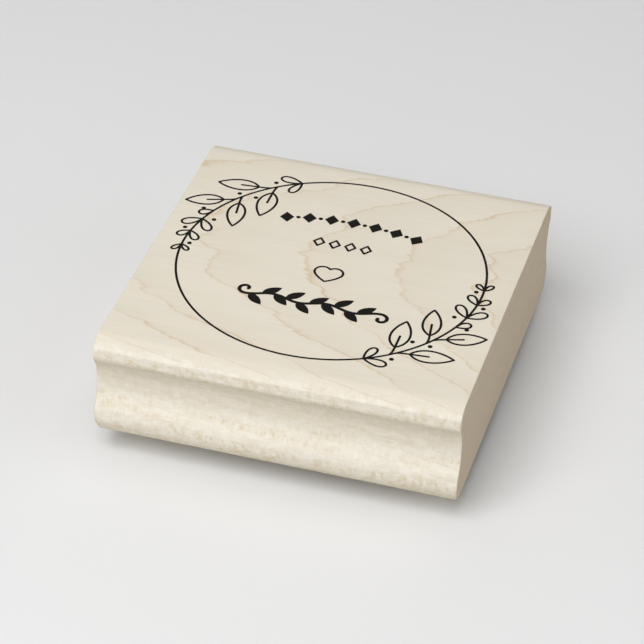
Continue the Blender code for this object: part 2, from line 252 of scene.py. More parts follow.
# Colours (linear RGB)
MAPLE_PALE = (0.735, 0.680, 0.570, 1.0)
MAPLE_DEEP = (0.690, 0.610, 0.480, 1.0)
MAPLE_LINE = (0.615, 0.475, 0.300, 1.0)
MAPLE_SIDE_LINE = (0.500, 0.420, 0.310, 1.0)
MAPLE_WHITE = (0.748, 0.714, 0.632, 1.0)
MAPLE_FLECK = (0.610, 0.530, 0.365, 1.0)
MAPLE_END = (0.555, 0.459, 0.333, 1.0)
MAPLE_END_LINE = (0.440, 0.350, 0.240, 1.0)
# painted shade: the wood's colour is scaled by this in the finger groove and at the lower edge
PAINTED_SHADE_TONE = (0.91, 0.885, 0.835)
INK = (0.0048, 0.0034, 0.0020)
# the sunken hollows of the cut cells: painted shade
FOAM_CELL_SHADE = (0.10, 0.10, 0.105, 1.0)
FOAM_WALL = (0.19, 0.19, 0.195, 1.0)
FILM = (0.60, 0.58, 0.50)
RUBBER_FACE = (0.075, 0.072, 0.074, 1.0)
RUBBER_FLOOR = (0.125, 0.118, 0.115, 1.0)
FLOOR = (0.77, 0.77, 0.77)
ROOM = (1.0, 0.99, 0.97, 1.0)
WHITE = (1.0, 1.0, 1.0, 1.0)

# Studio
FLOOR_RADIUS = 0.9
WALL_ROUND = 0.8  # radius of the curve from the floor up to the wall
WALL_STEPS = 16
FLOOR_STEPS = 96
WALL_GLOW = 0.38
WALL_GLOW_HEIGHT = 0.3  # height where the wall's glow is full
ROOM_STRENGTH = 0.03
# name, azimuth and elevation in degrees, distance, size, power in watts
LIGHTS = (
    ("key", -14.0, 52.0, 0.9, 0.7, 7.15),
    ("top", 0.0, 88.0, 1.0, 0.9, 1.9),
    ("side", 82.0, 34.0, 1.0, 0.8, 1.5),
    ("back", 205.0, 38.0, 1.1, 0.9, 1.4),
)


# ---------------------------------------------------------------- plane drawing


def arc(centre, radius, start, end, steps):
    """Points along an arc, with its angles in degrees."""
    angles = [math.radians(start + (end - start) * k / steps) for k in range(steps + 1)]
    return [(centre[0] + radius * math.cos(a), centre[1] + radius * math.sin(a)) for a in angles]


def polar(radius, degrees):
    """The point at this radius and angle round the origin."""
    return arc((0.0, 0.0), radius, degrees, degrees, 1)[0]


def placed(points, origin, heading):
    """Points turned so that +X becomes heading (degrees), then moved to origin."""
    c = math.cos(math.radians(heading))
    s = math.sin(math.radians(heading))
    return [(origin[0] + c * x - s * y, origin[1] + s * x + c * y) for x, y in points]


def side_of(path, offsets, closed):
    """The path with each point moved to its left by its own offset."""
    moved = []
    last = len(path) - 1
    for k, (x, y) in enumerate(path):
        before = path[k - 1] if k or closed else path[0]
        after = path[(k + 1) % len(path)] if k < last or closed else path[last]
        along = Vector((after[0] - before[0], after[1] - before[1])).normalized()
        moved.append((x - along.y * offsets[k], y + along.x * offsets[k]))
    return moved


def bend(start, control, end, steps):
    """Points along a quadratic curve."""
    points = []
    for k in range(steps + 1):
        t = k / steps
        weights = ((1 - t) ** 2, 2 * t * (1 - t), t * t)
        points.append(
            tuple(sum(w * p[i] for w, p in zip(weights, (start, control, end))) for i in (0, 1))
        )
    return points


def heading_of(start, end):
    """The direction from one point to another, in degrees."""
    return math.degrees(math.atan2(end[1] - start[1], end[0] - start[0]))


# ---------------------------------------------------------------- artwork
# A mark is a list of patches: polygons without holes, which may overlap.


def band(outline, hole):
    """A closed line between two loops of the same length."""
    count = len(outline)
    return [
        [outline[k], outline[(k + 1) % count], hole[(k + 1) % count], hole[k]] for k in range(count)
    ]


def line_mark(path, width):
    """A drawn line of even width with round ends."""
    half = width / 2
    left = side_of(path, [half] * len(path), False)
    right = side_of(path, [-half] * len(path), False)
    patches = [[left[k], right[k], right[k + 1], left[k + 1]] for k in range(len(path) - 1)]
    start = heading_of(path[0], path[1])
    end = heading_of(path[-2], path[-1])
    patches.append(arc(path[0], half, start + 90, start + 270, CAP_STEPS))
    patches.append(arc(path[-1], half, end - 90, end + 90, CAP_STEPS))
    return patches


def leaf_sides(length, width):
    """The two sides of a leaf that starts at the origin and points along +X, base to tip."""
    radius = (length**2 + width**2) / (4 * width)
    reach = radius - width / 2
    half = math.degrees(math.acos(reach / radius))
    above = arc((length / 2, -reach), radius, 90 + half, 90 - half, LEAF_STEPS)
    shift = LEAF_FULLNESS * length
    above = [(x - shift * (1 - (2 * x / length - 1) ** 2), y) for x, y in above]
    return above, [(x, -y) for x, y in above]


def teardrop_sides(length, width):
    """The two sides of a leaf with a round tip, from the origin along +X."""
    wide = width / TEARDROP_PEAK
    above = []
    for k in range(TEARDROP_STEPS + 1):
        t = math.pi * k / TEARDROP_STEPS
        above.append((length * (1 - math.cos(t)) / 2, wide / 2 * math.sin(t) * math.sin(t / 2)))
    return above, [(x, -y) for x, y in above]


def lozenge(size):
    """A lozenge about the origin."""
    across, up = size[0] / 2, size[1] / 2
    return [(across, 0.0), (0.0, up), (-across, 0.0), (0.0, -up)]


def heart_half():
    """The right half of a heart's edge, from its notch to its point."""
    notch = math.degrees(math.acos(-HEART_LOBE_SIDE / HEART_LOBE))
    lobe = arc((HEART_LOBE_SIDE, 0.0), HEART_LOBE, notch, HEART_SIDE_ANGLE, HEART_STEPS)
    control = placed([(HEART_LOBE * HEART_PULL, 0.0)], lobe[-1], HEART_SIDE_ANGLE - 90)[0]
    return lobe + bend(lobe[-1], control, (0.0, -HEART_DROP), HEART_STEPS)[1:]


def heart():
    """A heart drawn as a line."""
    right = heart_half()
    left = [(-x, y) for x, y in right]
    patches = []
    for side in (right, left):
        patches += line_mark(placed(side, HEART_CENTRE, 0.0), LINE)
    return patches


def dot(centre):
    """A round dot."""
    return [arc(centre, BERRY_RADIUS, 0, 360, BERRY_STEPS)[:-1]]


def large_leaf(degrees, lean, length, width):
    """A leaf's two sides, and one line for its bent stalk and its midrib."""
    foot = polar(ARTWORK_RING, degrees)
    growth = degrees + 90
    heading = growth + lean
    base = placed([(LEAF_STALK, 0.0)], foot, growth + lean * STALK_LEAN_SHARE)[0]
    control = placed([(STALK_RUN, 0.0)], foot, growth)[0]
    rib_end = placed([(length * MIDRIB_SHARE, 0.0)], base, heading)[0]
    patches = line_mark(bend(foot, control, base, STALK_STEPS) + [rib_end], LINE)
    for edge in leaf_sides(length, width):
        patches += line_mark(placed(edge, base, heading), LINE)
    return patches


def small_leaf(degrees, lean, length, width):
    """A small round-tipped leaf that starts on the ring."""
    foot = polar(ARTWORK_RING, degrees)
    patches = []
    for edge in teardrop_sides(length, width):
        patches += line_mark(placed(edge, foot, degrees + 90 + lean), LINE)
    return patches


def spray():
    """One leafy spray, which grows along the ring."""
    patches = []
    for degrees, lean, length, width in LARGE_LEAVES:
        patches += large_leaf(degrees, lean, length * MM, width * MM)
    for degrees, lean, length, width in SMALL_LEAVES:
        patches += small_leaf(degrees, lean, length * MM, width * MM)
    for degrees, inside in BERRIES:
        patches += dot(polar(ARTWORK_RING - inside * MM, degrees))
    return patches


def arched_row():
    """Solid lozenges along an arch, with dots between them."""
    patches = []
    centre = (0.0, ARCH_TOP - ARCH_RADIUS)
    first = 90 + ARCH_PITCH * (ARCH_COUNT - 1) / 2
    for k in range(2 * ARCH_COUNT - 1):
        degrees = first - ARCH_PITCH * k / 2
        middle = arc(centre, ARCH_RADIUS, degrees, degrees, 1)[0]
        if k % 2:
            patches += dot(middle)
        else:
            patches.append(placed(lozenge(ARCH_LOZENGE), middle, degrees - 90))
    return patches


def straight_row():
    """Outlined lozenges side by side."""
    patches = []
    for k in range(ROW_COUNT):
        middle = (ROW_PITCH * (k - (ROW_COUNT - 1) / 2), ROW_HEIGHT)
        corners = placed(lozenge(ROW_LOZENGE), middle, 0.0)
        for start, end in zip(corners, corners[1:] + corners[:1]):
            patches += line_mark([start, end], LINE)
    return patches


def garland_point(t):
    """The garland's stem where t runs from -1 at its left end to 1 at its right end."""
    wave = GARLAND_WAVE * math.sin(math.pi * GARLAND_WAVES * t)
    return (GARLAND_HALF * t, GARLAND_HEIGHT + wave)


def curl(start, heading, side):
    """Points of a tightening curl that leaves start along heading and bends left or right."""
    points = [start]
    turn = CURL_TURN / CURL_STEPS
    for k in range(CURL_STEPS):
        radius = CURL_RADIUS * (1 - CURL_TIGHTENING * k / CURL_STEPS)
        step = radius * math.radians(turn)
        points.append(placed([(step, 0.0)], points[-1], heading + side * turn / 2)[0])
        heading += side * turn
    return points


def garland():
    """The wavy stem with its curls, and solid leaves on alternate sides."""
    stem = [garland_point(2 * k / GARLAND_STEPS - 1) for k in range(GARLAND_STEPS + 1)]
    left = curl(stem[0], 180, -1)
    right = curl(stem[-1], 0, -1)
    patches = line_mark(left[:0:-1] + stem + right[1:], GARLAND_LINE)
    for k in range(GARLAND_LEAVES):
        side = 1 if k % 2 else -1
        foot = garland_point(GARLAND_FIRST_LEAF + GARLAND_LEAF_PITCH * k)
        above, below = leaf_sides(*GARLAND_LEAF)
        patches.append(placed(above + below[-2:0:-1], foot, side * GARLAND_LEAN))
    return patches


def artwork():
    """All the artwork's patches at full size, about the ring's centre."""
    ring = band(
        arc((0.0, 0.0), ARTWORK_RING + LINE / 2, 0, 360, RING_STEPS)[:-1],
        arc((0.0, 0.0), ARTWORK_RING - LINE / 2, 0, 360, RING_STEPS)[:-1],
    )
    sprays = [placed(patch, (0.0, 0.0), degrees) for patch in spray() for degrees in (0, 180)]
    return ring + sprays + heart() + arched_row() + straight_row() + garland()


def merged(patches, extra_points=()):
    """The patches as one flat sheet of triangles: points, triangles, and each one's patches."""
    corners = []
    faces = []
    for patch in patches:
        twice_area = sum(a[0] * b[1] - b[0] * a[1] for a, b in zip(patch, patch[1:] + patch[:1]))
        loop = patch if twice_area > 0 else patch[::-1]
        faces.append(list(range(len(corners), len(corners) + len(loop))))
        corners += loop
    corners += list(extra_points)
    scaled = [Vector(p) / MM for p in corners]
    found = delaunay_2d_cdt(scaled, [], faces, INSIDE_ONLY, MERGE_DISTANCE)
    points = [(p.x * MM, p.y * MM) for p in found[0]]
    covered = [(face, sources) for face, sources in zip(found[2], found[5]) if sources]
    return points, [face for face, _ in covered], [sources for _, sources in covered]


def rim_edges(triangles):
    """The directed edges that only one triangle has."""
    edges = {(t[k], t[(k + 1) % 3]) for t in triangles for k in range(3)}
    return [(a, b) for a, b in edges if (b, a) not in edges]


# ---------------------------------------------------------------- meshes


def new_object(name, bm, material, smooth_angle=None):
    """An object from a finished bmesh, smooth where its faces meet at less than an angle."""
    bmesh.ops.recalc_face_normals(bm, faces=bm.faces)
    mesh = bpy.data.meshes.new(name)
    bm.to_mesh(mesh)
    bm.free()
    mesh.materials.append(material)
    if smooth_angle:
        mesh.shade_smooth()
        mesh.set_sharp_from_angle(angle=math.radians(smooth_angle))
    obj = bpy.data.objects.new(name, mesh)
    bpy.context.scene.collection.objects.link(obj)
    return obj


def strip(bm, first, second):
    """Quads between two closed loops of vertices."""
    count = len(first)
    for k in range(count):
        after = (k + 1) % count
        bm.faces.new((first[k], first[after], second[after], second[k]))


def put_in_place(obj, nodes):
    """The piece rides on the stamp's one body and stands for these CAD nodes."""
    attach(obj, "root")
    if nodes:
        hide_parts(*nodes)
    return obj


# ---------------------------------------------------------------- block


def between(start, end, count):
    """The points that divide the way from start to end into count equal parts."""
    return [tuple(a + (b - a) * k / count for a, b in zip(start, end)) for k in range(1, count)]


def side_profile(depth, height):
    """One moulded side from the top face to the underside: depth from the middle, and height."""
    body = depth / 2
    nose = body - NOSE_SETBACK
    groove = nose - COVE_SINK
    lip = math.radians(LIP_ANGLE)

    quarter = [(x**TOP_BEVEL, y**TOP_BEVEL) for x, y in arc((0.0, 0.0), 1.0, 90, 0, TOP_STEPS)]
    top_foot = height - TOP_ROUND
    top = [(nose - TOP_REACH * (1 - x), top_foot + TOP_ROUND * y) for x, y in quarter]
    lip_height = height - LIP_DROP
    upright = between((nose, top_foot), (nose, lip_height), UPRIGHT_STEPS)
    under_lip = arc((nose - LIP_ROUND, lip_height), LIP_ROUND, 0, -LIP_ANGLE, LIP_STEPS)
    slope_sink = COVE_SINK - (LIP_ROUND + COVE_ROUND) * (1 - math.cos(lip))
    slope_drop = slope_sink / math.tan(lip)
    cove_height = lip_height - (LIP_ROUND + COVE_ROUND) * math.sin(lip) - slope_drop
    cove_middle = (groove + COVE_ROUND, cove_height)
    cove = arc(cove_middle, COVE_ROUND, 180 - LIP_ANGLE, 180, COVE_STEPS)

    flare_top = cove_height - GROOVE_FLAT
    flare_out = body - groove
    turn = 2 * math.atan2(flare_out, FLARE_HEIGHT)
    radii = FLARE_HEIGHT / math.sin(turn)
    hollow = radii * FLARE_HOLLOW_SHARE
    rounded = radii - hollow
    turn = math.degrees(turn)
    flare = arc((groove + hollow, flare_top), hollow, 180, 180 + turn, FLARE_STEPS)
    shoulder_middle = (body - rounded, flare_top - FLARE_HEIGHT)
    shoulder = arc(shoulder_middle, rounded, turn, 0, SHOULDER_STEPS)
    quarter = arc((0.0, 0.0), 1.0, 0, -90, BASE_STEPS)
    base = [(body - BASE_DEPTH * (1 - x), BASE_HEIGHT * (1 + y)) for x, y in quarter]
    return top + upright + under_lip + cove + flare + shoulder[1:] + base


def end_insets(outline, end, share):
    """How far each point of a sawn end's edge is rounded in, most at its worn lower corners."""
    depth = max(y for y, _ in outline)
    base = min(z for _, z in outline)
    insets = []
    for y, z in outline:
        wear = END_EASE_WEAR * noise.noise(Vector((y, z, 0.0)) / END_WEAR_WAVE)
        reach = min(math.hypot(depth - abs(y), z - base) / CORNER_WEAR_SPREAD, 1.0)
        wear += CORNER_WEAR[end] * math.cos(math.pi / 2 * reach) ** 2
        insets.append((END_EASE + wear) * share)
    return insets


def inward_ways(outline):
    """The way inwards at each point, evened out so that tight curves don't fold when inset."""
    moved = side_of(outline, [1.0] * len(outline), True)
    ways = [Vector(b) - Vector(a) for a, b in zip(outline, moved)]
    for _ in range(END_EVENING):
        after = ways[1:] + ways[:1]
        ways = [(a + b + c) / 3 for a, b, c in zip(ways[-1:] + ways[:-1], ways, after)]
    return ways


def rounded_end(outline, x, end):
    """The loops of a rounded end at x, from inside its sawn face out to the full outline."""
    ways = inward_ways(outline)
    rounds = [math.pi / 2 * k / END_EASE_STEPS for k in range(END_EASE_STEPS + 1)]
    loops = []
    for angle, extra in [(0.0, END_SUPPORT), *[(angle, 0.0) for angle in rounds]]:
        inward = end_insets(outline, end, 1 - math.sin(angle))
        along = end_insets(outline, end, 1 - math.cos(angle))
        loop = []
        for (y, z), way, dy, dx in zip(outline, ways, inward, along):
            loop.append((x - end * dx, y + way.x * (dy + extra), z + way.y * (dy + extra)))
        loops.append(loop)
    return loops


def sanded(outline, x, moulded):
    """The outline at one section, with the slight unevenness of its moulded sides."""
    depths = []
    for (y, z), share in zip(outline, moulded):
        wave = noise.noise(Vector([c / size for c, size in zip((x, y, z), SANDING_WAVES)]))
        depths.append(SANDING_DEPTH * (0.5 + 0.5 * wave) * share)
    return side_of(outline, depths, True)


def off_straight(first, middle, last):
    """How far the vertices between first and last lie from evenly spaced points between them."""
    straight = between(tuple(first.co), tuple(last.co), len(middle) + 1)
    return [v.co - Vector(p) for v, p in zip(middle, straight)]


def sawn_end(bm, rim, rows):
    """Fills a sawn end with rows of quads from its front edge to its back edge."""
    count = len(rim)
    front = rim[:rows]
    under = rim[rows : rows + COLUMNS - 1]
    back = rim[rows + COLUMNS - 1 : count - COLUMNS + 1][::-1]
    top = rim[count - COLUMNS + 1 :][::-1]
    top_bend = off_straight(front[0], top, back[0])
    under_bend = off_straight(front[-1], under, back[-1])
    lines = [[front[0], *top, back[0]]]
    for k in range(1, rows - 1):
        share = k / (rows - 1)
        inner = []
        straight = between(tuple(front[k].co), tuple(back[k].co), COLUMNS)
        for p, above, below in zip(straight, top_bend, under_bend):
            inner.append(bm.verts.new(Vector(p) + above * (1 - share) + below * share))
        lines.append([front[k], *inner, back[k]])
    lines.append([front[-1], *under, back[-1]])
    for upper, lower in zip(lines, lines[1:]):
        for k in range(COLUMNS):
            bm.faces.new((upper[k], upper[k + 1], lower[k + 1], lower[k]))


def build_block(material):
    """The moulding from sawn end to sawn end, with lightly worn edges."""
    low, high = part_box("maple_block")
    side = side_profile(high.y - low.y, high.z - low.z)
    front = [(-y, low.z + z) for y, z in side]
    back = [(y, low.z + z) for y, z in side[::-1]]
    outline = front + between(front[-1], back[0], COLUMNS) + back
    outline += between(back[-1], front[0], COLUMNS)
    flat = [0] * (COLUMNS - 1)
    last = len(side) - 1
    wavy = [min(1.0, k / SANDING_MARGIN, (last - k) / SANDING_MARGIN) for k in range(len(side))]
    moulded = wavy + flat + wavy + flat

    bm = bmesh.new()
    half = (high.x - low.x) / 2
    sections = []
    for k in range(SECTIONS + 1):
        x = (half - END_STRETCH) * (2 * k / SECTIONS - 1)
        fade = min(1.0, (half - END_STRETCH - abs(x)) / SANDING_FADE)
        points = sanded(outline, x, [m * fade for m in moulded])
        sections.append([(x, y, z) for y, z in points])
    sections = rounded_end(outline, -half, -1) + sections + rounded_end(outline, half, 1)[::-1]
    loops = [[bm.verts.new(p) for p in section] for section in sections]
    for a, b in zip(loops, loops[1:]):
        strip(bm, a, b)
    for rim in (loops[0], loops[-1]):
        sawn_end(bm, rim, len(side))
    block = new_object("moulded_block", bm, material, smooth_angle=40)
    return put_in_place(block, ["maple_block"])


# ---------------------------------------------------------------- index print


def build_print(material):
    """The index print: a thin coat of ink on the block's top."""
    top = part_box("maple_block")[1].z
    points, triangles, _ = merged(artwork())
    bm = bmesh.new()
    shifted = placed(points, PRINT_SHIFT, 0.0)
    upper = [bm.verts.new((x, y, top + INK_PROUD)) for x, y in shifted]
    lower = [bm.verts.new((x, y, top - INK_SUNK)) for x, y in shifted]
    for a, b, c in triangles:
        bm.faces.new((upper[a], upper[b], upper[c]))
        bm.faces.new((lower[c], lower[b], lower[a]))
    for a, b in rim_edges(triangles):
        bm.faces.new((upper[b], upper[a], lower[a], lower[b]))
    ink = new_object("index_print", bm, material)
    return put_in_place(ink, [])


# ---------------------------------------------------------------- soft stack


def trim_outline(inset):
    """The outline of the die: round, with a bulge over each spray."""
    points = []
    for k in range(TRIM_STEPS):
        degrees = 360 * k / TRIM_STEPS
        off_middle = (degrees - TRIM_BULGE_ANGLE + 90) % 180 - 90
        share = min(abs(off_middle) / TRIM_BULGE_SPREAD, 1.0)
        bulge = TRIM_BULGE * math.cos(math.pi / 2 * share) ** 2
        points.append(polar(TRIM_RADIUS + bulge - inset, degrees))
    return points


def build_layer(name, section, material):
    """A flat layer: its section runs from underside to top as pairs of inset and height."""
    bm = bmesh.new()
    loops = []
    for inset, z in section:
        loops.append([bm.verts.new((x, y, z)) for x, y in trim_outline(inset)])
    for a, b in zip(loops, loops[1:]):
        strip(bm, a, b)
    bm.faces.new(loops[0][::-1])
    bm.faces.new(loops[-1])
    return new_object(name, bm, material, smooth_angle=50)


def build_cushion(material):
    """The foam cushion, whose cut side swells a little between its two films."""
    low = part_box("die_side_film")[1].z + FILM_CLEARANCE
    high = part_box("block_side_film")[0].z - FILM_CLEARANCE
    section = []
    for k in range(CUSHION_STEPS + 1):
        t = k / CUSHION_STEPS
        swell = CUSHION_SWELL * math.sin(math.pi * t) ** CUSHION_FULLNESS
        section.append((FILM_INSET - swell, low + (high - low) * t))
    cushion = build_layer("foam_pad", section, material)
    put_in_place(cushion, ["foam_cushion"])


def build_films(material):
    """The two adhesive films, each bearing on the hard face beside it."""
    for name, node, neighbour in (
        ("lower_adhesive", "die_side_film", "rubber_die"),
        ("upper_adhesive", "block_side_film", "maple_block"),
    ):
        low, high = (corner.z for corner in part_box(node))
        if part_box(neighbour)[0].z < low:
            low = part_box(neighbour)[1].z + FILM_CLEARANCE
        else:
            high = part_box(neighbour)[0].z - FILM_CLEARANCE
        film = build_layer(name, ((FILM_INSET, low), (FILM_INSET, high)), material)
        put_in_place(film, [node])


def distance_to(points, edges):
    """Each point's distance to the nearest edge, as arrays."""
    starts = edges[:, 0]
    along = edges[:, 1] - starts
    lengths = np.maximum((along**2).sum(1), 1e-18)
    nearest = np.empty(len(points))
    for k, point in enumerate(points):
        share = np.clip(((point - starts) * along).sum(1) / lengths, 0, 1)
        gaps = starts + share[:, None] * along - point
        nearest[k] = math.sqrt((gaps**2).sum(1).min())
    return nearest


def build_die(material):
    """The rubber die: its sheet, and the artwork standing on it with sloped shoulders."""
    low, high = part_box("rubber_die")
    scale = DIE_RING / ARTWORK_RING
    marks = [[(x * scale, y * scale) for x, y in patch] for patch in artwork()]
    flat_points, flat_triangles, _ = merged(marks)
    rim = [(flat_points[a], flat_points[b]) for a, b in rim_edges(flat_triangles)]
    outline = trim_outline(0.0)
    feet = []
    for (ax, ay), (bx, by) in rim:
        along = Vector((bx - ax, by - ay)).normalized()
        middle = ((ax + bx) / 2, (ay + by) / 2)
        feet.append((middle[0] + along.y * RELIEF_SHOULDER, middle[1] - along.x * RELIEF_SHOULDER))
    points, triangles, sources = merged(marks + [outline], feet)
    rim_array = np.array(rim)
    raised = set()
    for triangle, patches in zip(triangles, sources):
        if any(p < len(marks) for p in patches):
            raised.update(triangle)
    gaps = distance_to(np.array(points), rim_array)
    bm = bmesh.new()
    verts = []
    for k, (x, y) in enumerate(points):
        rise = 0.0 if k in raised else min(gaps[k] / RELIEF_SHOULDER, 1.0)
        verts.append(bm.verts.new((x, y, low.z + DIE_RELIEF * rise)))
    for a, b, c in triangles:
        bm.faces.new((verts[c], verts[b], verts[a]))
    edge = rim_edges(triangles)
    tops = {a: bm.verts.new((points[a][0], points[a][1], high.z)) for a, _ in edge}
    for a, b in edge:
        bm.faces.new((verts[a], verts[b], tops[b], tops[a]))
    following = dict(edge)
    loop = [edge[0][0]]
    while following[loop[-1]] != loop[0]:
        loop.append(following[loop[-1]])
    bm.faces.new([tops[k] for k in loop])
    die = new_object("engraved_die", bm, material, smooth_angle=25)
    return put_in_place(die, ["rubber_die"])


# ---------------------------------------------------------------- materials


class Shader:
    """Builds one procedural material; its methods add a node and return its output."""

    def __init__(self, name, **constants):
        self.material = bpy.data.materials.new(name)
        self.material.use_nodes = True
        self.tree = self.material.node_tree
        self.surface = self.tree.nodes["Principled BSDF"]
        for socket, value in constants.items():
            self.surface.inputs[socket.replace("_", " ")].default_value = value
        coordinates = self.add("ShaderNodeTexCoord")
        self.normal = coordinates.outputs["Normal"]
        self.position = self.scaled(coordinates.outputs["Object"], (1 / MM,) * 3)

    def add(self, kind, inputs=(), **settings):
        """A node with its settings, and with its sockets fed in order."""
        node = self.tree.nodes.new(kind)
        for name, value in settings.items():
            setattr(node, name, value)
        for socket, value in dict(inputs).items():
            self.feed(node.inputs[socket], value)
        return node

    def feed(self, socket, value):
        """Links a socket, or gives it a plain value."""
        if isinstance(value, bpy.types.NodeSocket):
            self.tree.links.new(value, socket)
        else:
            socket.default_value = value

    def maths(self, operation, *values):
        """A sum of numbers."""
        node = self.add("ShaderNodeMath", enumerate(values), operation=operation)
        return node.outputs[0]

    def scaled(self, vector, factors):
        """A vector times one factor for each axis."""
        node = self.add("ShaderNodeVectorMath", operation="MULTIPLY")
        self.feed(node.inputs[0], vector)
        self.feed(node.inputs[1], factors)
        return node.outputs[0]

    def shifted(self, vector, offset):
        """A vector plus another."""
        node = self.add("ShaderNodeVectorMath", operation="ADD")
        self.feed(node.inputs[0], vector)
        self.feed(node.inputs[1], offset)
        return node.outputs[0]

    def parts(self, vector):
        """A vector's three numbers."""
        return self.add("ShaderNodeSeparateXYZ", {0: vector}).outputs

    def noise(self, sizes, detail=2.0, roughness=0.5, seed=0.0):
        """Noise from about -1 to 1 whose grains have these sizes along X, Y and Z, in mm."""
        vector = self.scaled(self.position, tuple(1 / s for s in sizes))
        vector = self.shifted(vector, (seed, seed * 1.7, seed * 2.3))
        inputs = {"Vector": vector, "Scale": 1.0, "Detail": detail, "Roughness": roughness}
        value = self.add("ShaderNodeTexNoise", inputs).outputs["Fac"]
        return self.maths("MULTIPLY_ADD", value, 2.0, -1.0)

    def ramp(self, value, low, high, start=0.0, end=1.0):
        """The value's place between low and high, eased from start to end."""
        node = self.add("ShaderNodeMapRange", {0: value, 1: low, 2: high, 3: start, 4: end})
        node.interpolation_type = "SMOOTHSTEP"
        return node.outputs[0]

    def near(self, value, middle, inner, outer, peak):
        """A peak where the value is within inner of its middle, that falls to 0 at outer."""
        off = self.maths("ABSOLUTE", self.maths("SUBTRACT", value, middle))
        return self.ramp(off, inner, outer, peak, 0.0)

    def blend(self, share, first, second):
        """A colour between two, by share."""
        node = self.add("ShaderNodeMix", data_type="RGBA")
        self.feed(node.inputs[0], share)
        self.feed(node.inputs[6], first)
        self.feed(node.inputs[7], second)
        return node.outputs[2]

    def tinted(self, colour, value, strength):
        """A colour made lighter or darker by value, which is about -1 to 1."""
        factor = self.maths("MULTIPLY_ADD", value, strength, 1.0)
        node = self.add("ShaderNodeVectorMath", operation="SCALE")
        self.feed(node.inputs[0], colour)
        self.feed(node.inputs["Scale"], factor)
        return node.outputs[0]

    def finish(self, colour, roughness, height):
        """Feeds the surface its colour, roughness and height in millimetres."""
        self.feed(self.surface.inputs["Base Color"], colour)
        self.feed(self.surface.inputs["Roughness"], roughness)
        bump = self.add("ShaderNodeBump", {"Height": height, "Strength": 1.0, "Distance": MM})
        self.feed(self.surface.inputs["Normal"], bump.outputs[0])
        return self.material


def ring_phase(kit, top):
    """How far each point is through its year's growth, from 0 to 1."""
    x, y, z = kit.parts(kit.position)
    wobble = kit.noise(RING_WAVES, detail=5, roughness=0.55)
    jag = kit.noise(RING_TEETH, detail=2, seed=6.4)
    slope = kit.maths("MULTIPLY_ADD", x, PITH_BEND, PITH_SLOPE)
    run = kit.maths("MULTIPLY", x, slope)
    above = kit.maths("SUBTRACT", kit.maths("SUBTRACT", PITH_HEIGHT + top, z), run)
    above = kit.maths("MULTIPLY_ADD", wobble, RING_WOBBLE, above)
    above = kit.maths("MULTIPLY_ADD", jag, RING_JAG, above)
    aside = kit.maths("SUBTRACT", y, PITH_SIDE)
    squares = [kit.maths("MULTIPLY", way, way) for way in (above, aside)]
    distance = kit.maths("SQRT", kit.maths("ADD", *squares))
    grown = kit.maths("SUBTRACT", distance, PITH_HEIGHT + RING_START)
    return kit.maths("FRACT", kit.maths("DIVIDE", grown, RING_PITCH))


def late_line(kit, phase):
    """The darker line that ends each year's growth, with its halo, fainter in places."""
    halo = kit.ramp(phase, HALO_START, LINE_END, 0.0, HALO_SHARE)
    line = kit.ramp(phase, LINE_START, LINE_END, 0.0, 1 - HALO_SHARE)
    line = kit.maths("MULTIPLY", kit.maths("ADD", halo, line), kit.ramp(phase, LINE_END, 1.0, 1.0, 0.0))
    strength = kit.ramp(kit.noise(LINE_FADES, detail=2, seed=3.1), -0.5, 0.5, 0.25, 1.0)
    return kit.maths("MULTIPLY", line, strength)


def flecks(kit, below):
    """Brown flecks, which gather in rows along the moulding and thin out in its groove."""
    spots = kit.ramp(kit.noise(SPOTS, detail=3, roughness=0.65, seed=5.9), -0.1, 0.3)
    rows = kit.noise(SPOT_ROWS, detail=2, seed=2.2)
    for depth in FLECK_ROWS:
        rows = kit.maths("ADD", rows, kit.near(below, depth, 0.5, 1.9, 0.4))
    rows = kit.maths("SUBTRACT", rows, kit.near(below, FLECK_GAP, 2.0, 4.5, 0.3))
    return kit.maths("MULTIPLY", spots, kit.ramp(rows, -0.15, 0.35))


def groove_and_edge_shade(kit, below):
    """How much painted shade darkens the wood: in the finger groove and at the lower edge."""
    start = kit.ramp(below, *GROOVE_SHADE_IN)
    groove = kit.maths("MULTIPLY", start, kit.ramp(below, *GROOVE_SHADE_OUT, 1.0, 0.0))
    return kit.maths("MAXIMUM", groove, kit.ramp(below, *EDGE_SHADE_IN))


def long_grain(kit, season, line, fibres, quartered, below):
    """The colour along the grain: lined on the flat-sawn top, mottled on the quartered sides, with
    painted shade in the finger groove and at the lower edge.
    """
    colour = kit.blend(kit.maths("MULTIPLY", season, SEASON_SHARE), MAPLE_PALE, MAPLE_DEEP)
    colour = kit.tinted(colour, kit.noise(CLOUDS, detail=3, seed=11.3), CLOUD_TINT)
    colour = kit.tinted(colour, fibres, FIBRE_TINT)
    shown = kit.ramp(quartered, 0.0, 1.0, TOP_LINE_SHARE, SIDE_LINE_SHARE)
    line_colour = kit.blend(quartered, MAPLE_LINE, MAPLE_SIDE_LINE)
    colour = kit.blend(kit.maths("MULTIPLY", line, shown), colour, line_colour)
    colour = kit.tinted(colour, quartered, SIDE_TINT)
    mottle = kit.ramp(kit.noise(MOTTLE, detail=5, roughness=0.7, seed=12.6), -0.3, 0.4)
    colour = kit.blend(kit.maths("MULTIPLY", mottle, quartered), colour, MAPLE_WHITE)
    bars = kit.maths("MULTIPLY", kit.noise(BARS, detail=2, seed=15.1), quartered)
    colour = kit.tinted(colour, bars, BAR_TINT)
    fleck = kit.maths("MULTIPLY", flecks(kit, below), quartered)
    colour = kit.blend(kit.maths("MULTIPLY", fleck, FLECK_SHARE), colour, MAPLE_FLECK)
    # painted shade: darker in the finger groove and along the lower edge
    return kit.blend(groove_and_edge_shade(kit, below), colour, kit.scaled(colour, PAINTED_SHADE_TONE))


